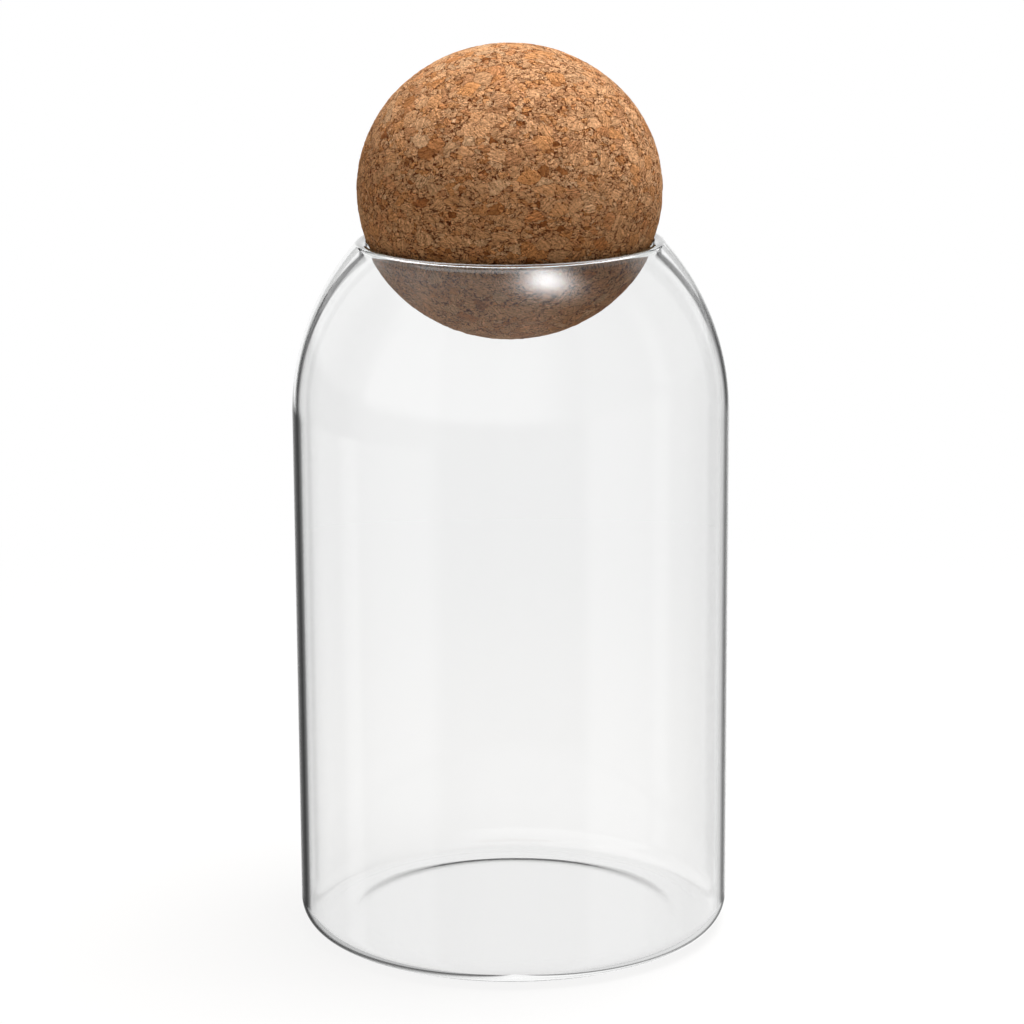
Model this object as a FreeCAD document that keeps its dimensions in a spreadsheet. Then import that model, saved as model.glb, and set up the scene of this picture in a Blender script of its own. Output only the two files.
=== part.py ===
import FreeCAD, Part
import math
import os
import Sketcher

# A clear storage jar worked from glass tube, closed by a ground cork ball that rests in its mouth.
# Millimetres, +Z up. The origin is the centre of the foot, on the surface that the jar stands on.

SIZES = [
    ("body_diameter", 100.0, "outside of the straight wall"),
    ("wall_thickness", 1.8, "glass in the straight wall"),
    ("jar_height", 161.4, "foot to the top of the lip"),
    ("shoulder_height", 39.4, "top of the straight wall to the top of the lip"),
    ("mouth_diameter", 64.6, "clear opening inside the lip"),
    ("lip_thickness", 3.3, "fire-polished lip, a bead rounded right over"),
    ("base_thickness", 1.5, "foot to the flat floor inside"),
    ("foot_corner_radius", 6.4, "outside, from the wall to the foot"),
    ("floor_corner_radius", 4.75, "inside, from the wall to the floor"),
    ("foot_ring_width", 3.2, "flat ring that the jar stands on"),
    ("foot_recess_depth", 0.17, "shallow flat recess pressed up inside the foot ring"),
    ("foot_recess_slope", 6.0, "width of the soft slope from the ring up to the recess"),
    ("ball_oversize", 4.6, "how much wider the ball is than the mouth"),
    ("ball_flattening", 1.6, "how far top and underside lie inside those of a full ball"),
    ("ball_side_step", 2.7, "how much tighter than a full ball it curves round its side"),
    ("seat_clearance", 0.3, "between the ball and the lip that it rests on"),
]

doc = FreeCAD.newDocument("cork_ball_jar")
sheet = doc.addObject("Spreadsheet::Sheet", "Sizes")
for row, (alias, number, meaning) in enumerate(SIZES, start=1):
    sheet.set(f"A{row}", meaning)
    sheet.set(f"B{row}", str(number))
    sheet.setAlias(f"B{row}", alias)
doc.recompute()

# What is worked out from the driving dimensions, as expressions on the sheet
WALL_RADIUS = "Sizes.body_diameter / 2"
INNER_RADIUS = f"{WALL_RADIUS} - Sizes.wall_thickness"
LIP_RADIUS = "Sizes.lip_thickness / 2"
LIP_CIRCLE_RADIUS = "(Sizes.mouth_diameter + Sizes.lip_thickness) / 2"
LIP_CENTRE_HEIGHT = f"Sizes.jar_height - {LIP_RADIUS}"
SHOULDER_RISE = f"Sizes.shoulder_height - {LIP_RADIUS}"
BALL_RADIUS = "(Sizes.mouth_diameter + Sizes.ball_oversize) / 2"
BALL_RISE = f"{BALL_RADIUS} - Sizes.ball_flattening"
SIDE_RADIUS = f"{BALL_RADIUS} - Sizes.ball_side_step"
SEAT_REACH = f"{SIDE_RADIUS} + {LIP_RADIUS} + Sizes.seat_clearance"
SEAT_RUN = f"{LIP_CIRCLE_RADIUS} - Sizes.ball_side_step"
BALL_CENTRE_HEIGHT = f"{LIP_CENTRE_HEIGHT} + sqrt(({SEAT_REACH})^2 - ({SEAT_RUN})^2)"

ORIGIN = ("level_axis", "start")
QUARTER_TURN = math.pi / 2


def value(expression):
    """What an expression on the sheet comes to now."""
    return float(sheet.evalExpression(expression))


def line(sketch, start, end):
    """Add a straight edge between two points, each a radius and a height."""
    return sketch.addGeometry(
        Part.LineSegment(FreeCAD.Vector(*start), FreeCAD.Vector(*end))
    )


def arc(sketch, centre, radius, start, end):
    """Add an arc that runs anticlockwise between two angles in radians."""
    circle = Part.Circle(FreeCAD.Vector(*centre), FreeCAD.Vector(0, 0, 1), radius)
    return sketch.addGeometry(Part.ArcOfCircle(circle, start, end))


def constraint(kind, *ends):
    """A constraint where the sketch's axes and the points of an edge are given by name."""
    numbers = {"level_axis": -1, "upright_axis": -2, "start": 1, "end": 2, "centre": 3}
    return Sketcher.Constraint(kind, *[numbers.get(end, end) for end in ends])


def constrain(sketch, joins, measures):
    """Join the edges, then bind each measure to its expression on the sheet."""
    for join in joins:
        sketch.addConstraint(constraint(*join))
    for name, (geometry, expression) in measures.items():
        index = sketch.addConstraint(constraint(*geometry, value(expression)))
        sketch.renameConstraint(index, name)
        sketch.setExpression(f"Constraints.{name}", expression)


def new_body(label):
    body = doc.addObject("PartDesign::Body", label)
    body.Label = label
    return body


def section_sketch(body, name):
    """A sketch on the body's own upright plane: its x is the radius and its y is the height."""
    sketch = body.newObject("Sketcher::SketchObject", name)
    plane = next(f for f in body.Origin.OriginFeatures if f.Role == "XZ_Plane")
    sketch.AttachmentSupport = (plane, "")
    sketch.MapMode = "FlatFace"
    return sketch


def turn_round(body, sketch, name):
    """Turn a half section once round the upright axis."""
    turned = body.newObject("PartDesign::Revolution", name)
    turned.Profile = sketch
    turned.ReferenceAxis = (sketch, ["V_Axis"])
    turned.Angle = 360


def glass_jar():
    """Half the jar's section, out along the foot, up over the lip and back inside, turned round."""
    body = new_body("glass_jar")
    sketch = section_sketch(body, "jar_section")

    wall_r = value(WALL_RADIUS)
    inner_r = value(INNER_RADIUS)
    lip_r = value(LIP_RADIUS)
    lip_circle = value(LIP_CIRCLE_RADIUS)
    lip_z = value(LIP_CENTRE_HEIGHT)
    rise = value(SHOULDER_RISE)
    wall_top = lip_z - rise
    foot_round = value("Sizes.foot_corner_radius")
    ring_r = wall_r - foot_round - value("Sizes.foot_ring_width")
    recess = value("Sizes.foot_recess_depth")
    slope = value("Sizes.foot_recess_slope")
    floor_z = value("Sizes.base_thickness")
    floor_round = value("Sizes.floor_corner_radius")

    # The recess, with a soft slope of two equal arcs down to the ring, and the foot out to the wall
    bow = (slope**2 + recess**2) / (4 * recess)
    bow_turn = math.asin(slope / 2 / bow)
    underside = line(sketch, (0, recess), (ring_r - slope, recess))
    slope_top = arc(
        sketch, (ring_r - slope, recess - bow), bow, QUARTER_TURN - bow_turn, QUARTER_TURN
    )
    slope_foot = arc(sketch, (ring_r, bow), bow, -QUARTER_TURN - bow_turn, -QUARTER_TURN)
    foot = line(sketch, (ring_r, 0), (wall_r - foot_round, 0))
    corner = arc(sketch, (wall_r - foot_round, foot_round), foot_round, -QUARTER_TURN, 0)
    wall = line(sketch, (wall_r, foot_round), (wall_r, wall_top))

    # Each shoulder arc leaves its wall upright and runs on into the round of the lip
    inward = wall_r - lip_circle
    bend = (inward**2 + rise**2 - lip_r**2) / (2 * (inward - lip_r))
    turn = math.atan2(rise, bend - inward)
    shoulder = arc(sketch, (wall_r - bend, wall_top), bend, 0, turn)
    inner_inward = inner_r - lip_circle
    inner_bend = (inner_inward**2 + rise**2 - lip_r**2) / (2 * (inner_inward + lip_r))
    inner_turn = math.atan2(rise, inner_bend - inner_inward)
    lip = arc(sketch, (lip_circle, lip_z), lip_r, turn, math.pi + inner_turn)
    inner_shoulder = arc(sketch, (inner_r - inner_bend, wall_top), inner_bend, 0, inner_turn)

    # The inside, down the wall and back to the axis along the floor
    floor_round_z = floor_z + floor_round
    inner_wall = line(sketch, (inner_r, floor_round_z), (inner_r, wall_top))
    inner_corner = arc(
        sketch, (inner_r - floor_round, floor_round_z), floor_round, -QUARTER_TURN, 0
    )
    floor = line(sketch, (0, floor_z), (inner_r - floor_round, floor_z))
    axis = line(sketch, (0, recess), (0, floor_z))

    joins = [
        ("Coincident", axis, "start", underside, "start"),
        ("Tangent", underside, "end", slope_top, "end"),
        ("Tangent", slope_top, "start", slope_foot, "start"),
        ("Tangent", slope_foot, "end", foot, "start"),
        ("Tangent", foot, "end", corner, "start"),
        ("Tangent", corner, "end", wall, "start"),
        ("Tangent", wall, "end", shoulder, "start"),
        ("Tangent", shoulder, "end", lip, "start"),
        ("Tangent", lip, "end", inner_shoulder, "end"),
        ("Tangent", inner_shoulder, "start", inner_wall, "end"),
        ("Tangent", inner_wall, "start", inner_corner, "end"),
        ("Tangent", inner_corner, "start", floor, "end"),
        ("Coincident", floor, "start", axis, "end"),
        ("PointOnObject", axis, "start", "upright_axis"),
        ("PointOnObject", axis, "end", "upright_axis"),
        ("PointOnObject", foot, "start", "level_axis"),
        ("Horizontal", underside),
        ("Horizontal", foot),
        ("Horizontal", floor),
        ("Vertical", wall),
        ("Vertical", inner_wall),
        ("Horizontal", wall, "end", inner_wall, "end"),
        ("Equal", slope_top, slope_foot),
    ]
    measures = {
        "wall_radius": (("DistanceX", *ORIGIN, wall, "start"), WALL_RADIUS),
        "wall": (("DistanceX", inner_wall, "start", wall, "start"), "Sizes.wall_thickness"),
        "foot_corner": (("Radius", corner), "Sizes.foot_corner_radius"),
        "floor_corner": (("Radius", inner_corner), "Sizes.floor_corner_radius"),
        "foot_ring": (("DistanceX", foot, "start", foot, "end"), "Sizes.foot_ring_width"),
        "recess": (("DistanceY", *ORIGIN, axis, "start"), "Sizes.foot_recess_depth"),
        "slope": (("DistanceX", underside, "end", foot, "start"), "Sizes.foot_recess_slope"),
        "floor": (("DistanceY", *ORIGIN, axis, "end"), "Sizes.base_thickness"),
        "lip": (("Radius", lip), LIP_RADIUS),
        "lip_circle": (("DistanceX", *ORIGIN, lip, "centre"), LIP_CIRCLE_RADIUS),
        "lip_height": (("DistanceY", *ORIGIN, lip, "centre"), LIP_CENTRE_HEIGHT),
        "shoulder_rise": (("DistanceY", wall, "end", lip, "centre"), SHOULDER_RISE),
    }
    constrain(sketch, joins, measures)
    turn_round(body, sketch, "jar_glass")
    return body


def cork_ball():
    """Half the ball's section about its own centre, turned round and set down on the lip."""
    body = new_body("cork_ball")
    sketch = section_sketch(body, "ball_section")

    rise = value(BALL_RISE)
    side_r = value(SIDE_RADIUS)
    side_x = value("Sizes.ball_side_step")

    # A little flatter than a full ball: the side's arc runs on into wider arcs over and under it
    spare = rise - side_r
    sink = (side_x**2 - spare**2) / (2 * spare)
    wide_r = rise + sink
    turn = math.atan2(sink, side_x)
    crown = arc(sketch, (0, -sink), wide_r, turn, QUARTER_TURN)
    side = arc(sketch, (side_x, 0), side_r, -turn, turn)
    underside = arc(sketch, (0, sink), wide_r, -QUARTER_TURN, -turn)
    axis = line(sketch, (0, -rise), (0, rise))

    joins = [
        ("Coincident", axis, "start", underside, "start"),
        ("Tangent", underside, "end", side, "start"),
        ("Tangent", side, "end", crown, "start"),
        ("Coincident", crown, "end", axis, "end"),
        ("PointOnObject", axis, "start", "upright_axis"),
        ("PointOnObject", axis, "end", "upright_axis"),
        ("PointOnObject", crown, "centre", "upright_axis"),
        ("PointOnObject", underside, "centre", "upright_axis"),
        ("PointOnObject", side, "centre", "level_axis"),
        ("Equal", crown, underside),
    ]
    measures = {
        "side": (("Radius", side), SIDE_RADIUS),
        "side_step": (("DistanceX", *ORIGIN, side, "centre"), "Sizes.ball_side_step"),
        "rise": (("DistanceY", *ORIGIN, axis, "end"), BALL_RISE),
    }
    constrain(sketch, joins, measures)
    turn_round(body, sketch, "ground_ball")
    body.setExpression("Placement.Base.z", BALL_CENTRE_HEIGHT)
    return body


pieces = [glass_jar(), cork_ball()]
doc.recompute()

for item in doc.Objects:
    if "Invalid" in item.State or "Error" in item.State:
        raise RuntimeError(f"{item.Label} did not rebuild: {item.State}")
for piece in pieces:
    if piece.Shape.isNull() or not piece.Shape.isValid():
        raise RuntimeError(f"{piece.Label} has no valid shape")

os.makedirs("parts", exist_ok=True)
for piece in pieces:
    piece.Shape.exportStep(f"parts/{piece.Label}.step")
    box = piece.Shape.BoundBox
    print(f"{piece.Label}: {piece.Shape.Volume:.1f} mm3, z {box.ZMin:.3f} to {box.ZMax:.3f}")
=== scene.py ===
import math

import bpy
from mathutils import Matrix, Vector


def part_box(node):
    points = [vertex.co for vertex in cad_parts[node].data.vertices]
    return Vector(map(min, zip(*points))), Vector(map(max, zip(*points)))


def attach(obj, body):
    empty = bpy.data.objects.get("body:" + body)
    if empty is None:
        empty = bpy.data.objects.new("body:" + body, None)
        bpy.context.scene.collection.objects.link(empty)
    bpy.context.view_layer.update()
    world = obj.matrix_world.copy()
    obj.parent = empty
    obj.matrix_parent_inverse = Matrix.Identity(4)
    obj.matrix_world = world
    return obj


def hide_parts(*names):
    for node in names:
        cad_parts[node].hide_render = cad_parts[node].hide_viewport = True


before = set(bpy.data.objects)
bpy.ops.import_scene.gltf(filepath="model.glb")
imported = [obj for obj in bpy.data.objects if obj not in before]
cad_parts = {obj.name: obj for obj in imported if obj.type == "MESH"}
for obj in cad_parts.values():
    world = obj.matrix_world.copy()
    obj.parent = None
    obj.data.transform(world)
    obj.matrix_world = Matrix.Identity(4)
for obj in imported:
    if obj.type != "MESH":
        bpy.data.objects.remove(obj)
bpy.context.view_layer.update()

bl_info = {
    "name": "Cork ball jar",
    "version": (1, 0, 0),
    "blender": (4, 5, 0),
    "location": "View3D > Sidebar > Cork jar",
    "description": "A clear glass jar closed by a ground cork ball, with its studio stage",
    "category": "Object",
}

JAR_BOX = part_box("glass_jar")
BALL_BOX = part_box("cork_ball")
MM = 0.001
QUARTER_TURN = math.pi / 2
FULL_TURN = 2 * math.pi
SECTORS = 16

# The photograph's frame, and where the camera stood when it was taken
FRAME_PIXELS = 1024
FOCAL_PIXELS = 3658
SENSOR_WIDTH = 36
CAMERA_PLACE = (0.00012, -0.8199, 0.2957)
CAMERA_DOWN = math.radians(13.563)
CAMERA_ROLL = math.radians(-0.331)

# The softbox lamp, which lights the cork, and the point that it faces
KEY_PLACE = Vector((0.219, 0.08, 1.04))
KEY_AIM = Vector((0, 0, 0.17))
KEY_SIZE = 0.6

# Brightness that mirrored rays meet round the jar, low down: degrees from the far side, + to the right.
# The dark stops are cards at the two sides, which draw the edges of the glass.
LOW_SURROUND = [
    (-180, 0), (-140, 0), (-135, 0.27), (-93, 0.25), (-90, 0.6), (-80, 0.6), (-77, 0.3), (-60, 0.5),
    (-36, 0.5), (-32, 0.32), (-30, 0.18), (-28, 0.05), (-22, 0.06), (-18, 0.11), (-15, 0.2),
    (-11, 0.36), (-8, 0.7), (-5, 1), (13, 1), (16.5, 0.25), (24.5, 0.16), (27.5, 0.72), (45, 0.75),
    (70, 0.3), (137, 0.27), (141, 0), (180, 0),
]
# The same, at the level of the shoulder
HIGH_SURROUND = [
    (-180, 0), (-80, 0.05), (-60, 0.3), (-36, 0.6), (-29, 0.5), (-28, 0.05), (-27, 0.02),
    (-22.5, 0.04), (-21, 0.5), (-19.5, 1), (12, 1), (16, 0.15), (23.5, 0.06), (26, 0.5), (28, 0.72),
    (45, 0.75), (70, 0.3), (137, 0.27), (141, 0), (180, 0),
]
# The same, above the horizon, where the cards narrow
TOP_SURROUND = [
    (-180, 0), (-80, 0.3), (-60, 0.6), (-40, 1), (-29.5, 1), (-28, 0), (-20.5, 0), (-19.5, 1),
    (18.5, 1), (20, 0), (26, 0), (27.5, 1), (45, 0.9), (70, 0.4), (110, 0.1), (180, 0),
]


def linear(code):
    """The linear colour of an sRGB hex code."""
    shares = [int(code[i : i + 2], 16) / 255 for i in (1, 3, 5)]
    return [s / 12.92 if s <= 0.04045 else ((s + 0.055) / 1.055) ** 2.4 for s in shares]


def length(name, description, default):
    return bpy.props.FloatProperty(
        name=name,
        description=description,
        default=default,
        min=0,
        precision=5,
        subtype="DISTANCE",
        unit="LENGTH",
    )


def colour(name, description, code):
    return bpy.props.FloatVectorProperty(
        name=name, description=description, default=linear(code), min=0, max=1, subtype="COLOR"
    )


class GlassJarSettings(bpy.types.PropertyGroup):
    body_radius: length("Body radius", "Outside of the straight wall", min(JAR_BOX[1].xy))
    height: length("Height", "Foot to the top of the lip", JAR_BOX[1].z)
    wall: length("Wall", "Glass in the straight wall", 1.8 * MM)
    shoulder: length("Shoulder", "Top of the straight wall to the top of the lip", 39.4 * MM)
    mouth_radius: length("Mouth radius", "Clear opening inside the lip", 32.3 * MM)
    lip: length("Lip", "Thickness of the fire-polished lip, a round bead", 3.3 * MM)
    base: length("Base", "Foot to the flat floor inside", 1.5 * MM)
    foot_corner: length("Foot corner", "Outside round from wall to foot", 6.4 * MM)
    floor_corner: length("Floor corner", "Inside round from wall to floor", 4.75 * MM)
    foot_ring: length("Foot ring", "Width of the ring that the jar stands on", 3.2 * MM)
    recess: length("Recess", "Depth of the recess inside the foot ring", 0.17 * MM)
    recess_slope: length("Recess slope", "Width of the slope up to the recess", 6.0 * MM)
    turns: bpy.props.IntProperty(
        name="Turns", description="Steps of the section round the axis", default=256, min=24
    )
    tint: colour("Tint", "What a metre of the glass leaves of white light", "#dae3dd")
    tint_density: bpy.props.FloatProperty(
        name="Tint density", description="How soon the tint shows", default=10, min=0
    )


class CorkBallSettings(bpy.types.PropertyGroup):
    radius: length("Radius", "The ball at its widest", min(BALL_BOX[1].xy))
    centre: length("Centre", "Height of the ball's centre", (BALL_BOX[0].z + BALL_BOX[1].z) / 2)
    rise: length("Rise", "From the ball's centre to its top", (BALL_BOX[1].z - BALL_BOX[0].z) / 2)
    side_step: length("Side step", "How much tighter than a full ball its side curves", 2.7 * MM)
    relief: length("Relief", "Deepest gap between the granules", 0.15 * MM)
    turns: bpy.props.IntProperty(
        name="Turns", description="Steps of the section round the axis", default=448, min=24
    )
    dark: colour("Bark flakes", "The darkest granules", "#9a5c30")
    brown: colour("Brown granules", "The darker of the usual granules", "#dc9a62")
    tan: colour("Tan granules", "The usual granules", "#e7b081")
    pale: colour("Pale granules", "The lightest flakes", "#ebbd92")
    red: colour("Red granules", "Granules with a red cast", "#dc8955")
    # Painted shade: this dark colour stands in for the shadow that falls into the gaps between the
    # granules
    gap_shade: colour("Crevices", "The gaps between the granules", "#6a2d0a")


class StageSettings(bpy.types.PropertyGroup):
    floor: colour("Floor", "The pale floor and backdrop", "#ffffff")
    key_power: bpy.props.FloatProperty(
        name="Key power", description="Strength of the softbox", default=12.6, min=0, unit="POWER"
    )
    fill: bpy.props.FloatProperty(
        name="Fill", description="Level of the soft light from all sides", default=0.37, min=0
    )
    fill_tint: colour("Fill tint", "The soft light's colour, a little warm", "#fff1df")


class CorkJarSettings(bpy.types.PropertyGroup):
    glass: bpy.props.PointerProperty(type=GlassJarSettings)
    cork: bpy.props.PointerProperty(type=CorkBallSettings)
    stage: bpy.props.PointerProperty(type=StageSettings)


def node(tree, kind, inputs=None, **settings):
    """Add a node with its settings; a socket among the inputs is linked, and anything else is set."""
    added = tree.nodes.new(kind)
    for name, setting in settings.items():
        setattr(added, name, setting)
    for key, given in (inputs or {}).items():
        if isinstance(given, bpy.types.NodeSocket):
            tree.links.new(given, added.inputs[key])
        else:
            added.inputs[key].default_value = given
    return added


def fill_ramp(ramp, stops):
    """Give a colour ramp its stops, each a position and a linear colour."""
    elements = ramp.color_ramp.elements
    while len(elements) > 1:
        elements.remove(elements[-1])
    for index, (position, shade) in enumerate(stops):
        element = elements[0] if index == 0 else elements.new(position)
        element.position = position
        element.color = (*shade, 1)


def empty_tree(block):
    """The emptied node tree of a new material or world."""
    block.use_nodes = True
    block.node_tree.nodes.clear()
    return block.node_tree


class Section:
    """A half section traced from point to point on the upright plane, then turned round the axis."""

    def __init__(self, name, radius, height):
        bpy.ops.object.select_all(action="DESELECT")
        bpy.ops.mesh.primitive_plane_add(size=MM)
        self.piece = bpy.context.object
        self.piece.name = name
        self.piece.data.name = name
        bpy.ops.object.mode_set(mode="EDIT")
        bpy.ops.mesh.select_mode(type="VERT")
        bpy.ops.mesh.select_all(action="SELECT")
        bpy.ops.mesh.merge(type="CENTER")
        bpy.ops.transform.translate(value=(radius, 0, height))
        self.pen = Vector((radius, height))

    def line(self, radius, height):
        """Run straight on to a point."""
        step = Vector((radius, height)) - self.pen
        bpy.ops.mesh.extrude_vertices_move(TRANSFORM_OT_translate={"value": (step.x, 0, step.y)})
        self.pen += step

    def arc(self, radius, height, angle, steps):
        """Swing about a point, anticlockwise where the angle is positive."""
        centre = Vector((radius, height))
        bpy.ops.mesh.spin(
            steps=steps,
            angle=abs(angle),
            center=(centre.x, 0, centre.y),
            axis=(0, math.copysign(1, angle), 0),
        )
        self.pen = centre + Matrix.Rotation(angle, 2) @ (self.pen - centre)

    def turn_round(self, steps):
        """Turn the section through one sector, repeat the sector all round and close it at the axis."""
        sector = FULL_TURN / SECTORS
        for copies, angle, repeat in (
            (steps // SECTORS, sector, False),
            (SECTORS - 1, FULL_TURN - sector, True),
        ):
            bpy.ops.mesh.select_all(action="SELECT")
            bpy.ops.mesh.spin(
                steps=copies, angle=angle, dupli=repeat, center=(0, 0, 0), axis=(0, 0, 1)
            )
        bpy.ops.mesh.select_all(action="SELECT")
        bpy.ops.mesh.remove_doubles(threshold=MM / 1000)
        bpy.ops.mesh.normals_make_consistent(inside=False)
        bpy.ops.object.mode_set(mode="OBJECT")
        bpy.ops.object.shade_smooth()
        return self.piece


def glass_material(sizes, name, gloss):
    """Borosilicate tube, drawn and flame-worked: clear, fire-polished, with a faint grey-green body.

    The eye gets sharp dark edges, one soft highlight and hardly any colour. The lip, melted round in
    the flame, has more gloss than the wall, because it draws the brightest line on the jar.
    """
    material = bpy.data.materials.new(name)
    tree = empty_tree(material)
    place = node(tree, "ShaderNodeTexCoord").outputs["Object"]
    # Drawing leaves ripples about 12 mm apart round the tube, long along it
    drawn = node(tree, "ShaderNodeMapping", {"Vector": place, "Scale": (1, 1, 0.2)})
    ripple = node(
        tree,
        "ShaderNodeTexNoise",
        {"Vector": drawn.outputs[0], "Scale": 1 / (12 * MM), "Detail": 1.0},
    )
    bump = node(
        tree,
        "ShaderNodeBump",
        {"Height": ripple.outputs[0], "Strength": 1.0, "Distance": 0.004 * MM},
    )
    surface = node(
        tree,
        "ShaderNodeBsdfPrincipled",
        {
            "Base Color": (1, 1, 1, 1),
            "Roughness": 0,
            "IOR": 1.47,
            "Transmission Weight": 1,
            "Coat Weight": gloss,
            "Coat Roughness": 0,
            "Coat IOR": 2.4,
            "Normal": bump.outputs[0],
        },
    )
    body = node(
        tree,
        "ShaderNodeVolumeAbsorption",
        {"Color": (*sizes.tint, 1), "Density": sizes.tint_density},
    )
    node(
        tree,
        "ShaderNodeOutputMaterial",
        {"Surface": surface.outputs[0], "Volume": body.outputs[0]},
    )
    return material


class CORKJAR_OT_glass(bpy.types.Operator):
    """Trace the jar's section, turn it round and give it its glass"""

    bl_idname = "corkjar.glass"
    bl_label = "Glass jar"

    def execute(self, context):
        sizes = context.scene.cork_jar.glass
        wall, inner = sizes.body_radius, sizes.body_radius - sizes.wall
        lip = sizes.lip / 2
        lip_circle = sizes.mouth_radius + lip
        lip_height = sizes.height - lip
        rise = sizes.shoulder - lip
        wall_top = lip_height - rise
        ring = wall - sizes.foot_corner - sizes.foot_ring

        # Under the foot: the flat recess, its soft slope of two equal arcs, and the ring
        bow = (sizes.recess_slope**2 + sizes.recess**2) / (4 * sizes.recess)
        bow_turn = math.asin(sizes.recess_slope / 2 / bow)
        section = Section("jar_glass", 0, sizes.recess)
        for share in (0.35, 0.7, 1):
            section.line(share * (ring - sizes.recess_slope), sizes.recess)
        section.arc(ring - sizes.recess_slope, sizes.recess - bow, -bow_turn, 10)
        section.arc(ring, bow, bow_turn, 10)
        section.line(wall - sizes.foot_corner, 0)
        section.arc(wall - sizes.foot_corner, sizes.foot_corner, QUARTER_TURN, 24)
        section.line(wall, wall_top)

        # Over the shoulder and the round lip, and back down inside
        inward = wall - lip_circle
        bend = (inward**2 + rise**2 - lip**2) / (2 * (inward - lip))
        turn = math.atan2(rise, bend - inward)
        section.arc(wall - bend, wall_top, turn, 48)
        inward = inner - lip_circle
        inner_bend = (inward**2 + rise**2 - lip**2) / (2 * (inward + lip))
        inner_turn = math.atan2(rise, inner_bend - inward)
        section.arc(lip_circle, lip_height, math.pi + inner_turn - turn, 40)
        section.arc(inner - inner_bend, wall_top, -inner_turn, 48)

        # Down the inside of the wall and in along the floor
        section.line(inner, sizes.base + sizes.floor_corner)
        section.arc(
            inner - sizes.floor_corner, sizes.base + sizes.floor_corner, -QUARTER_TURN, 24
        )
        for share in (0.7, 0.35, 0):
            section.line(share * (inner - sizes.floor_corner), sizes.base)
        jar = section.turn_round(sizes.turns)

        jar.data.materials.append(glass_material(sizes, "flame_worked_borosilicate", 0))
        jar.data.materials.append(glass_material(sizes, "fire_polished_lip", 1))
        for face in jar.data.polygons:
            off = Vector((face.center.xy.length - lip_circle, face.center.z - lip_height))
            if off.length < 1.02 * lip:
                face.material_index = 1
        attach(jar, "jar")
        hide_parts("glass_jar")
        return {"FINISHED"}


def cells(tree, place, size):
    """Cells of a size in mm: their colour, their centre and the distance to their border in mm."""
    given = {"Vector": place, "Scale": 1 / size}
    cell = node(tree, "ShaderNodeTexVoronoi", given).outputs
    edge = node(tree, "ShaderNodeTexVoronoi", given, feature="DISTANCE_TO_EDGE").outputs
    border = node(tree, "ShaderNodeMath", {0: edge["Distance"], 1: size}, operation="MULTIPLY")
    return cell["Color"], cell["Position"], border.outputs[0]


def facets(tree, place, centre, chosen):
    """Heights in mm of flat faces, one to a cell, each tilted its own way; and the way it tilts."""
    off = node(tree, "ShaderNodeVectorMath", {0: place, 1: centre}, operation="SUBTRACT")
    lean = node(tree, "ShaderNodeVectorMath", {0: chosen, 1: (0.5, 0.5, 0.5)}, operation="SUBTRACT")
    face = node(
        tree,
        "ShaderNodeVectorMath",
        {0: off.outputs[0], 1: lean.outputs[0]},
        operation="DOT_PRODUCT",
    )
    return face.outputs["Value"], lean.outputs[0]


def granules(tree, place):
    """Cork granules as ragged cells: pressed mm, random colour, centre, mm to the border, whole or not.

    Most are about 1.6 mm across, and some cells of a coarser set, about 3.4 mm, are whole flakes.
    Pressing the block has left them flatter than they are wide.
    """
    small, large, whole_share = 1.6, 3.4, 0.46
    in_mm = node(
        tree, "ShaderNodeVectorMath", {0: place, 1: (1 / MM, 1 / MM, 1.4 / MM)}, operation="MULTIPLY"
    )
    ragged = node(
        tree,
        "ShaderNodeTexNoise",
        {"Vector": in_mm.outputs[0], "Scale": 1 / 0.9, "Detail": 3.0, "Roughness": 0.7},
    )
    shift = node(
        tree,
        "ShaderNodeVectorMath",
        {0: ragged.outputs["Color"], 1: (0.5, 0.5, 0.5)},
        operation="SUBTRACT",
    )
    pressed = node(
        tree,
        "ShaderNodeVectorMath",
        {0: shift.outputs[0], 1: (1.5, 1.5, 1.5), 2: in_mm.outputs[0]},
        operation="MULTIPLY_ADD",
    ).outputs[0]
    crumb = cells(tree, pressed, small)
    flake = cells(tree, pressed, large)
    draw = node(tree, "ShaderNodeSeparateXYZ", {0: flake[0]})
    whole = node(
        tree, "ShaderNodeMath", {0: draw.outputs[0], 1: whole_share}, operation="LESS_THAN"
    ).outputs[0]
    chosen = node(
        tree, "ShaderNodeMix", {0: whole, 6: crumb[0], 7: flake[0]}, data_type="RGBA"
    ).outputs[2]
    centre = node(
        tree, "ShaderNodeMix", {0: whole, 4: crumb[1], 5: flake[1]}, data_type="VECTOR"
    ).outputs[1]
    border = node(tree, "ShaderNodeMix", {0: whole, 2: crumb[2], 3: flake[2]}).outputs[0]
    return pressed, chosen, centre, border, whole


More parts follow.
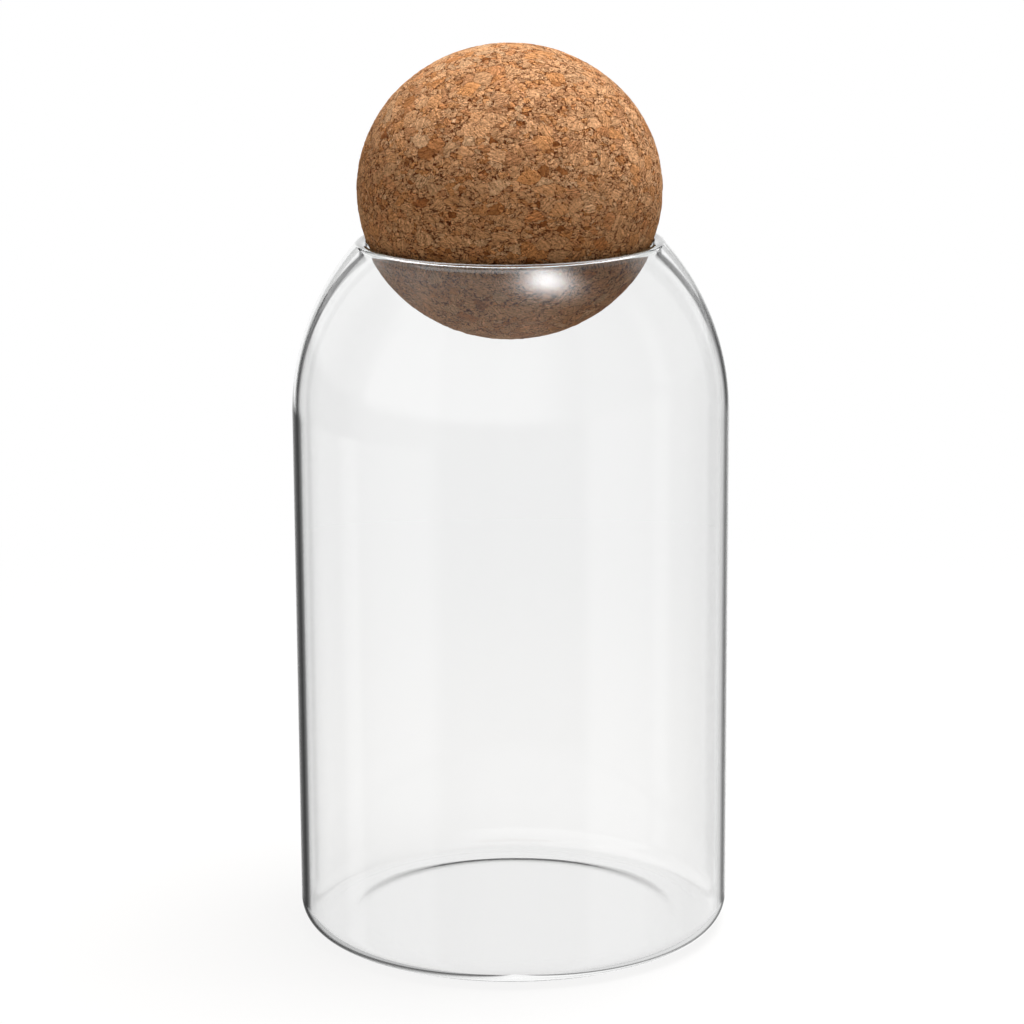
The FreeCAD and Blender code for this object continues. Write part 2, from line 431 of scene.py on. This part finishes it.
def granule_relief(depth):
    """Node group that lets each granule stand at its own height, with a dip along its border."""
    tree = bpy.data.node_groups.new("granule_relief", "GeometryNodeTree")
    for way in ("INPUT", "OUTPUT"):
        tree.interface.new_socket("Geometry", in_out=way, socket_type="NodeSocketGeometry")
    place = node(tree, "GeometryNodeInputPosition").outputs[0]
    _, chosen, _, border, _ = granules(tree, place)
    random = node(tree, "ShaderNodeSeparateXYZ", {0: chosen}).outputs
    crown = node(
        tree,
        "ShaderNodeMapRange",
        {"Value": border, "From Min": 0.0, "From Max": 0.4},
        interpolation_type="SMOOTHSTEP",
    )
    level = node(
        tree, "ShaderNodeMapRange", {"Value": random[2], "To Min": 0.2, "To Max": 1.0}
    )
    height = node(
        tree,
        "ShaderNodeMath",
        {0: crown.outputs[0], 1: level.outputs[0], 2: -1.0},
        operation="MULTIPLY_ADD",
    )
    inwards = node(
        tree, "ShaderNodeMath", {0: height.outputs[0], 1: depth}, operation="MULTIPLY"
    )
    normal = node(tree, "GeometryNodeInputNormal").outputs[0]
    offset = node(
        tree,
        "ShaderNodeVectorMath",
        {0: normal, "Scale": inwards.outputs[0]},
        operation="SCALE",
    )
    mesh = node(tree, "NodeGroupInput").outputs[0]
    moved = node(tree, "GeometryNodeSetPosition", {"Geometry": mesh, "Offset": offset.outputs[0]})
    node(tree, "NodeGroupOutput", {0: moved.outputs[0]})
    return tree


def crack(tree, place, border, spacing, least, most, width):
    """Dark share of a crack along a border, which opens and closes over a spacing; sizes in mm."""
    opening = node(tree, "ShaderNodeTexNoise", {"Vector": place, "Scale": 1 / spacing, "Detail": 2.0})
    reach = node(
        tree,
        "ShaderNodeMapRange",
        {"Value": opening.outputs[0], "From Min": least, "From Max": most, "To Max": width},
    )
    return node(
        tree,
        "ShaderNodeMapRange",
        {"Value": border, "From Min": reach.outputs[0], "From Max": 0.0},
        interpolation_type="SMOOTHSTEP",
    ).outputs[0]


def cork_material(shades):
    """Agglomerated cork, ground to a ball: granules cut through, dull, with gaps between them that are
    darkened with painted shade.

    The eye gets a fine tan and brown crumb with pale flakes, dark specks and no gloss.
    """
    material = bpy.data.materials.new("ground_agglomerated_cork")
    tree = empty_tree(material)
    place = node(tree, "ShaderNodeTexCoord").outputs["Object"]
    pressed, chosen, centre, border, whole = granules(tree, place)
    face, lean = facets(tree, pressed, centre, chosen)
    random = node(tree, "ShaderNodeSeparateXYZ", {0: chosen}).outputs
    tone = node(tree, "ShaderNodeValToRGB", {0: random[1]})
    fill_ramp(
        tone,
        [
            (0, shades.dark),
            (0.04, shades.brown),
            (0.45, shades.tan),
            (0.8, shades.tan),
            (1, shades.pale),
        ],
    )
    reddish = node(
        tree,
        "ShaderNodeMapRange",
        {"Value": random[2], "From Min": 0.72, "From Max": 0.78, "To Max": 0.28},
    )
    granule = node(
        tree,
        "ShaderNodeMix",
        {0: reddish.outputs[0], 6: tone.outputs[0], 7: (*shades.red, 1)},
        data_type="RGBA",
    ).outputs[2]
    # Grinding leaves each granule torn into chips of about 0.6 mm, some lighter and some darker
    chip_colour, chip_centre, chip_border = cells(tree, pressed, 0.6)
    chip_face, chip_lean = facets(tree, pressed, chip_centre, chip_colour)
    chip_random = node(tree, "ShaderNodeSeparateXYZ", {0: chip_colour}).outputs
    # Growth lines about 0.27 mm apart, which run their own way on each granule
    grain = node(tree, "ShaderNodeVectorMath", {0: lean}, operation="NORMALIZE").outputs[0]
    across = node(
        tree, "ShaderNodeVectorMath", {0: pressed, 1: grain}, operation="DOT_PRODUCT"
    ).outputs["Value"]
    lines = node(
        tree,
        "ShaderNodeTexNoise",
        {"W": across, "Scale": 1 / 0.27, "Detail": 1.0},
        noise_dimensions="1D",
    ).outputs[0]
    line_level = node(
        tree,
        "ShaderNodeMapRange",
        {"Value": lines, "From Min": 0.3, "From Max": 0.7},
    ).outputs[0]
    # The granule's colour is multiplied: a dark line is also redder, and a light one paler
    dark_line, light_line = (0.54, 0.48, 0.42, 1), (1.24, 1.3, 1.38, 1)
    line_shade = node(
        tree, "ShaderNodeMix", {0: line_level, 6: dark_line, 7: light_line}, data_type="RGBA"
    ).outputs[2]
    chip_level = node(
        tree, "ShaderNodeMapRange", {"Value": chip_random[0], "To Min": 0.87, "To Max": 1.13}
    ).outputs[0]
    level = node(
        tree, "ShaderNodeVectorMath", {0: line_shade, "Scale": chip_level}, operation="SCALE"
    ).outputs[0]
    torn = node(
        tree,
        "ShaderNodeMix",
        {0: 1.0, 6: granule, 7: level},
        data_type="RGBA",
        blend_type="MULTIPLY",
    ).outputs[2]
    # Cracks round the granules and the chips, which open and close
    wide = crack(tree, pressed, border, 0.8, 0.38, 0.62, 0.14)
    fine = crack(tree, pressed, chip_border, 0.8, 0.51, 0.68, 0.12)
    # Whole flakes are smoother than the crumb round them
    smooth = node(tree, "ShaderNodeMapRange", {"Value": whole, "To Min": 1.0, "To Max": 0.45}).outputs[0]
    kept = node(tree, "ShaderNodeMath", {0: fine, 1: smooth}, operation="MULTIPLY").outputs[0]
    hollow = node(tree, "ShaderNodeMath", {0: wide, 1: kept}, operation="MAXIMUM").outputs[0]
    # Painted shade: the cracks take the dark gap colour in place of the shadow in them; their dip in the
    # height below is real relief
    dark = node(
        tree, "ShaderNodeMath", {0: hollow, 1: 1.8}, operation="MULTIPLY", use_clamp=True
    ).outputs[0]
    shown = node(
        tree,
        "ShaderNodeMix",
        {0: dark, 6: torn, 7: (*shades.gap_shade, 1)},
        data_type="RGBA",
    ).outputs[2]
    # Heights in mm: the faces of granules and chips, the growth lines and the cracks
    faces = node(
        tree, "ShaderNodeMath", {0: chip_face, 1: 0.5, 2: face}, operation="MULTIPLY_ADD"
    ).outputs[0]
    ribs = node(
        tree, "ShaderNodeMath", {0: lines, 1: 0.25, 2: faces}, operation="MULTIPLY_ADD"
    ).outputs[0]
    height = node(
        tree, "ShaderNodeMath", {0: hollow, 1: -0.22, 2: ribs}, operation="MULTIPLY_ADD"
    ).outputs[0]
    bump = node(
        tree, "ShaderNodeBump", {"Height": height, "Strength": 1.0, "Distance": MM}
    )
    surface = node(
        tree,
        "ShaderNodeBsdfPrincipled",
        {
            "Base Color": shown,
            "Roughness": 0.8,
            "Specular IOR Level": 0.06,
            "Sheen Weight": 0.05,
            "Sheen Roughness": 0.5,
            "Sheen Tint": (*linear("#fffad0"), 1),
            "Normal": bump.outputs[0],
        },
    )
    node(tree, "ShaderNodeOutputMaterial", {"Surface": surface.outputs[0]})
    return material


class CORKJAR_OT_cork(bpy.types.Operator):
    """Trace the ball's section, turn it round, raise its granules and give it its cork"""

    bl_idname = "corkjar.cork"
    bl_label = "Cork ball"

    def execute(self, context):
        sizes = context.scene.cork_jar.cork
        # A little flatter than a full ball: the side's arc runs on into wider arcs over and under it
        side = sizes.radius - sizes.side_step
        spare = sizes.rise - side
        sink = (sizes.side_step**2 - spare**2) / (2 * spare)
        turn = math.atan2(sink, sizes.side_step)
        section = Section("cork_ball_ground", 0, sizes.centre + sizes.rise)
        section.arc(0, sizes.centre - sink, turn - QUARTER_TURN, 56)
        section.arc(sizes.side_step, sizes.centre, -2 * turn, 102)
        section.arc(0, sizes.centre + sink, turn - QUARTER_TURN, 56)
        ball = section.turn_round(sizes.turns)

        bpy.ops.object.modifier_add(type="NODES")
        relief = ball.modifiers[-1]
        relief.node_group = granule_relief(sizes.relief)
        bpy.ops.object.modifier_apply(modifier=relief.name)

        ball.data.materials.append(cork_material(sizes))
        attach(ball, "ball")
        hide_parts("cork_ball")
        return {"FINISHED"}


def add_camera():
    bpy.ops.object.camera_add()
    camera = bpy.context.object
    camera.name = "photo_camera"
    camera.data.sensor_width = SENSOR_WIDTH
    camera.data.lens = SENSOR_WIDTH * FOCAL_PIXELS / FRAME_PIXELS
    camera.matrix_world = (
        Matrix.Translation(CAMERA_PLACE)
        @ Matrix.Rotation(QUARTER_TURN - CAMERA_DOWN, 4, "X")
        @ Matrix.Rotation(CAMERA_ROLL, 4, "Z")
    )
    bpy.context.scene.camera = camera


def add_key(power):
    """The softbox, high over the jar and a little to the right.

    The glass doesn't mirror the lamp itself, because the surround draws its reflection.
    """
    turn = (KEY_AIM - KEY_PLACE).to_track_quat("-Z", "Y").to_euler()
    bpy.ops.object.light_add(type="AREA", location=KEY_PLACE, rotation=turn)
    key = bpy.context.object
    key.name = "softbox"
    key.data.shape = "SQUARE"
    key.data.size = KEY_SIZE
    key.data.energy = power
    key.visible_glossy = False
    key.visible_transmission = False


def seen_rays(tree):
    """1 on rays that the eye sends out, also mirrored or through glass, until they meet a matt surface."""
    path = node(tree, "ShaderNodeLightPath").outputs
    sent = path["Is Camera Ray"]
    for kind in ("Is Glossy Ray", "Is Transmission Ray"):
        sent = node(tree, "ShaderNodeMath", {0: sent, 1: path[kind]}, operation="MAXIMUM").outputs[0]
    clean = node(tree, "ShaderNodeMath", {0: path["Diffuse Depth"], 1: 0.5}, operation="LESS_THAN")
    return node(
        tree, "ShaderNodeMath", {0: sent, 1: clean.outputs[0]}, operation="MULTIPLY"
    ).outputs[0]


def add_floor(stage):
    """A white floor that keeps a faint shadow; what the glass mirrors comes from the surroundings."""
    bpy.ops.mesh.primitive_plane_add(size=20, location=(0, 0, -0.2 * MM))
    floor = bpy.context.object
    floor.name = "studio_floor"
    material = bpy.data.materials.new("matt_white_paper")
    tree = empty_tree(material)
    path = node(tree, "ShaderNodeLightPath")
    seen = seen_rays(tree)
    level = node(tree, "ShaderNodeMix", {0: seen, 2: 1.6 * stage.fill, 3: 1.0})
    tint = node(
        tree, "ShaderNodeMix", {0: seen, 6: (*stage.fill_tint, 1), 7: (*stage.floor, 1)}, data_type="RGBA"
    )
    glow = node(
        tree, "ShaderNodeEmission", {"Color": tint.outputs[2], "Strength": level.outputs[0]}
    )
    paper = node(tree, "ShaderNodeBsdfDiffuse", {"Color": (*stage.floor, 1)})
    place = node(tree, "ShaderNodeTexCoord").outputs["Object"]
    away = node(tree, "ShaderNodeVectorMath", {0: place}, operation="LENGTH")
    shaded = node(
        tree,
        "ShaderNodeMapRange",
        {"Value": away.outputs["Value"], "From Min": 0.1, "From Max": 0.4, "To Min": 0.12, "To Max": 0.0},
        interpolation_type="SMOOTHSTEP",
    )
    pale = node(
        tree, "ShaderNodeMixShader", {0: shaded.outputs[0], 1: glow.outputs[0], 2: paper.outputs[0]}
    )
    mirrored = node(
        tree, "ShaderNodeMath", {0: path.outputs["Glossy Depth"], 1: 0.5}, operation="GREATER_THAN"
    )
    clear = node(tree, "ShaderNodeBsdfTransparent")
    shown = node(
        tree,
        "ShaderNodeMixShader",
        {0: mirrored.outputs[0], 1: pale.outputs[0], 2: clear.outputs[0]},
    )
    node(tree, "ShaderNodeOutputMaterial", {"Surface": shown.outputs[0]})
    floor.data.materials.append(material)


def add_surround(stage):
    """White all round for the eye; for mirrored rays a studio with dark cards, a ceiling and a softbox."""
    world = bpy.data.worlds.new("studio_surround")
    bpy.context.scene.world = world
    tree = empty_tree(world)
    way = node(tree, "ShaderNodeTexCoord").outputs["Generated"]
    axes = node(tree, "ShaderNodeSeparateXYZ", {0: way}).outputs
    turn = node(tree, "ShaderNodeMath", {0: axes[0], 1: axes[1]}, operation="ARCTAN2")
    share = node(
        tree,
        "ShaderNodeMapRange",
        {"Value": turn.outputs[0], "From Min": -math.pi, "From Max": math.pi},
    )
    sides = None
    for surround, foot, head in (
        (LOW_SURROUND, 0, 0),
        (HIGH_SURROUND, -0.205, -0.17),
        (TOP_SURROUND, 0.04, 0.09),
    ):
        ring = node(tree, "ShaderNodeValToRGB", {0: share.outputs[0]})
        fill_ramp(ring, [((degrees + 180) / 360, [level] * 3) for degrees, level in surround])
        if sides is None:
            sides = ring.outputs[0]
            continue
        raised = node(
            tree,
            "ShaderNodeMapRange",
            {"Value": axes[2], "From Min": foot, "From Max": head},
            interpolation_type="SMOOTHSTEP",
        )
        sides = node(
            tree, "ShaderNodeMix", {0: raised.outputs[0], 6: sides, 7: ring.outputs[0]}, data_type="RGBA"
        ).outputs[2]
    behind = node(
        tree,
        "ShaderNodeMapRange",
        {"Value": axes[1], "From Min": -0.35, "From Max": 0.0, "To Min": 0.6, "To Max": 1.0},
        interpolation_type="SMOOTHSTEP",
    )
    overhead = node(
        tree,
        "ShaderNodeMapRange",
        {"Value": axes[2], "From Min": 0.55, "From Max": 0.8},
        interpolation_type="SMOOTHSTEP",
    )
    front = node(tree, "ShaderNodeMath", {0: axes[1], 1: -0.1}, operation="LESS_THAN")
    sky = node(
        tree,
        "ShaderNodeMapRange",
        {"Value": axes[2], "From Min": 0.0, "From Max": 0.1, "To Max": 0.75},
        interpolation_type="SMOOTHSTEP",
    )
    left = node(
        tree,
        "ShaderNodeMapRange",
        {"Value": axes[0], "From Min": 0.15, "From Max": 0.6, "To Min": 1.0, "To Max": 0.2},
        interpolation_type="SMOOTHSTEP",
    )
    front_level = node(
        tree, "ShaderNodeMath", {0: front.outputs[0], 1: left.outputs[0]}, operation="MULTIPLY"
    )
    front_sky = node(
        tree, "ShaderNodeMath", {0: front_level.outputs[0], 1: sky.outputs[0]}, operation="MULTIPLY"
    )
    walls = node(
        tree, "ShaderNodeMath", {0: sides, 1: front_sky.outputs[0]}, operation="MAXIMUM"
    )
    ceiling = node(
        tree, "ShaderNodeMath", {0: behind.outputs[0], 1: left.outputs[0]}, operation="MULTIPLY"
    )
    room = node(
        tree,
        "ShaderNodeMix",
        {0: overhead.outputs[0], 2: walls.outputs[0], 3: ceiling.outputs[0]},
    )

    # The softbox as the shoulder mirrors it, an oval with soft edges and a faint glow round it
    to_box = Vector((0.296, -0.325, 0.898)).normalized()
    along = Vector((-0.257, 0.838, 0.485))
    across = along.cross(to_box).normalized()
    along = to_box.cross(across)
    squares = []
    for axis, reach in ((across, 0.155), (along, 0.088)):
        off = node(tree, "ShaderNodeVectorMath", {0: way, 1: axis / reach}, operation="DOT_PRODUCT")
        squares.append(
            node(tree, "ShaderNodeMath", {0: off.outputs["Value"], 1: 2.0}, operation="POWER").outputs[0]
        )
    spread = node(tree, "ShaderNodeMath", {0: squares[0], 1: squares[1]}, operation="ADD").outputs[0]
    box = 0.0
    for steepness, strength in ((-0.7, 24), (-0.2, 1)):
        fall = node(tree, "ShaderNodeMath", {0: spread, 1: steepness}, operation="MULTIPLY").outputs[0]
        fade = node(tree, "ShaderNodeMath", {0: fall}, operation="EXPONENT").outputs[0]
        box = node(
            tree, "ShaderNodeMath", {0: fade, 1: strength, 2: box}, operation="MULTIPLY_ADD"
        ).outputs[0]
    # Overhead light, which only faces that lean back further than the shoulder mirror, as the lip does
    to_camera = Matrix.Rotation(-CAMERA_DOWN, 3, "X") @ Vector((0, -1, 0))
    halfway = node(tree, "ShaderNodeVectorMath", {0: way, 1: to_camera}, operation="ADD").outputs[0]
    face = node(tree, "ShaderNodeVectorMath", {0: halfway}, operation="NORMALIZE").outputs[0]
    lean = node(tree, "ShaderNodeSeparateXYZ", {0: face}).outputs[2]
    zenith = node(
        tree,
        "ShaderNodeMapRange",
        {"Value": lean, "From Min": 0.69, "From Max": 0.75, "To Max": 4.5},
        interpolation_type="SMOOTHSTEP",
    ).outputs[0]
    high = node(
        tree,
        "ShaderNodeMapRange",
        {"Value": axes[2], "From Min": 0.55, "From Max": 0.7},
        interpolation_type="SMOOTHSTEP",
    ).outputs[0]
    rear = node(
        tree,
        "ShaderNodeMapRange",
        {"Value": axes[1], "From Min": 0.25, "From Max": 0.7, "To Min": 1.0, "To Max": 0.4},
        interpolation_type="SMOOTHSTEP",
    ).outputs[0]
    for share in (high, rear):
        zenith = node(tree, "ShaderNodeMath", {0: zenith, 1: share}, operation="MULTIPLY").outputs[0]
    strip = node(
        tree,
        "ShaderNodeMapRange",
        {"Value": axes[2], "From Min": 0.93, "From Max": 0.98, "To Max": 3.0},
        interpolation_type="SMOOTHSTEP",
    ).outputs[0]
    for part in (zenith, strip):
        box = node(tree, "ShaderNodeMath", {0: box, 1: part}, operation="MAXIMUM").outputs[0]
    # The outside of the glass mirrors them, and the inside doesn't, so that no second softbox shows
    path = node(tree, "ShaderNodeLightPath").outputs
    above = node(tree, "ShaderNodeMath", {0: axes[2], 1: 0.0}, operation="GREATER_THAN")
    near = node(
        tree, "ShaderNodeMath", {0: path["Transmission Depth"], 1: 0.5}, operation="LESS_THAN"
    )
    seen = node(tree, "ShaderNodeMath", {0: above.outputs[0], 1: near.outputs[0]}, operation="MULTIPLY")
    mirrored = node(
        tree,
        "ShaderNodeMath",
        {0: box, 1: seen.outputs[0], 2: room.outputs[0]},
        operation="MULTIPLY_ADD",
    )
    bounced = node(
        tree, "ShaderNodeMath", {0: path["Glossy Depth"], 1: 0.5}, operation="GREATER_THAN"
    )
    eye = node(tree, "ShaderNodeMix", {0: bounced.outputs[0], 2: 1.0, 3: mirrored.outputs[0]})
    sent = seen_rays(tree)
    level = node(tree, "ShaderNodeMix", {0: sent, 2: stage.fill, 3: eye.outputs[0]})
    tint = node(
        tree, "ShaderNodeMix", {0: sent, 6: (*stage.fill_tint, 1), 7: (1, 1, 1, 1)}, data_type="RGBA"
    )
    light = node(
        tree, "ShaderNodeBackground", {"Color": tint.outputs[2], "Strength": level.outputs[0]}
    )
    node(tree, "ShaderNodeOutputWorld", {"Surface": light.outputs[0]})


class CORKJAR_OT_stage(bpy.types.Operator):
    """Set up the camera, the softbox, the floor and the surroundings"""

    bl_idname = "corkjar.stage"
    bl_label = "Studio stage"

    def execute(self, context):
        stage = context.scene.cork_jar.stage
        bpy.ops.object.select_all(action="DESELECT")
        add_camera()
        add_key(stage.key_power)
        add_floor(stage)
        add_surround(stage)
        context.scene.view_settings.view_transform = "Standard"
        return {"FINISHED"}


class CORKJAR_PT_panel(bpy.types.Panel):
    """The pieces of the jar and the sizes that shape them"""

    bl_idname = "CORKJAR_PT_panel"
    bl_label = "Cork ball jar"
    bl_space_type = "VIEW_3D"
    bl_region_type = "UI"
    bl_category = "Cork jar"

    def draw(self, context):
        jar = context.scene.cork_jar
        for operator, settings in (
            (CORKJAR_OT_glass, jar.glass),
            (CORKJAR_OT_cork, jar.cork),
            (CORKJAR_OT_stage, jar.stage),
        ):
            box = self.layout.box()
            box.operator(operator.bl_idname)
            for name in settings.bl_rna.properties.keys():
                if name not in ("rna_type", "name"):
                    box.prop(settings, name)


CLASSES = (
    GlassJarSettings,
    CorkBallSettings,
    StageSettings,
    CorkJarSettings,
    CORKJAR_OT_glass,
    CORKJAR_OT_cork,
    CORKJAR_OT_stage,
    CORKJAR_PT_panel,
)


def register():
    for cls in CLASSES:
        bpy.utils.register_class(cls)
    bpy.types.Scene.cork_jar = bpy.props.PointerProperty(type=CorkJarSettings)


def unregister():
    del bpy.types.Scene.cork_jar
    for cls in reversed(CLASSES):
        bpy.utils.unregister_class(cls)


def main():
    register()
    bpy.ops.corkjar.glass()
    bpy.ops.corkjar.cork()
    bpy.ops.corkjar.stage()


if __name__ == "__main__":
    main()
